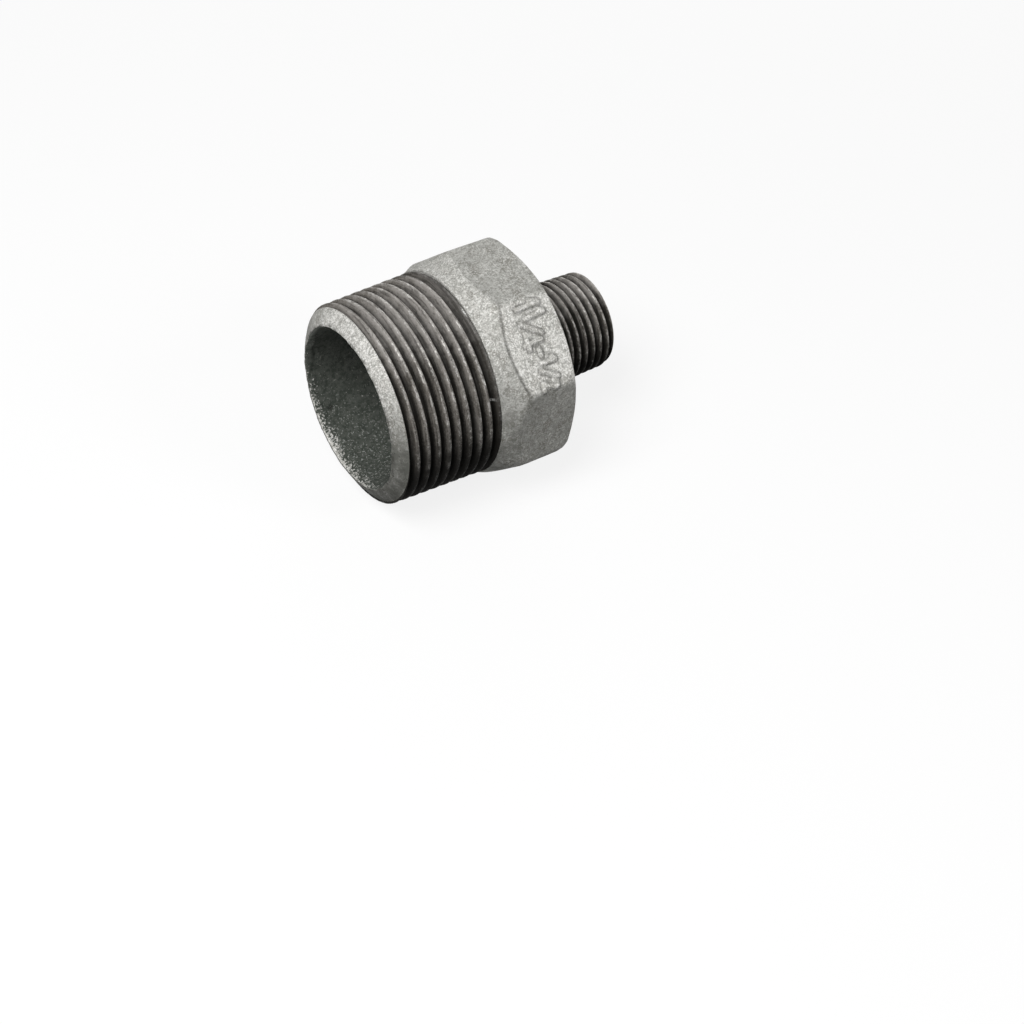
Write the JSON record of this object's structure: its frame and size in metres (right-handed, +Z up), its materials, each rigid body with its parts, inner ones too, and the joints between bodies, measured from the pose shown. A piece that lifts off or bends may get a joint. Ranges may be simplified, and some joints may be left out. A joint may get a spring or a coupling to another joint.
{
  "type": "reducing nipple",
  "caption": "Galvanised malleable iron pipe fitting that joins a large and a small female taper thread, with an eight-sided spanner body and a stepped bore.",
  "frame": {"origin": "centre of the large end's face, on the axis of the bore", "axes": "+X along the pipe axis from the large end to the small end; +Z up, square to the flat opposite the one that the fitting rests on; +Y completes the right-handed frame"},
  "size_m": [0.0575, 0.045, 0.045],
  "materials": {
    "galvanised_iron": "hot-dip galvanised casting with a fine sandy grain; dark oily machined threads"
  },
  "bodies": {
    "root": {"reducing_nipple": "galvanised_iron"}
  },
  "joints": []
}
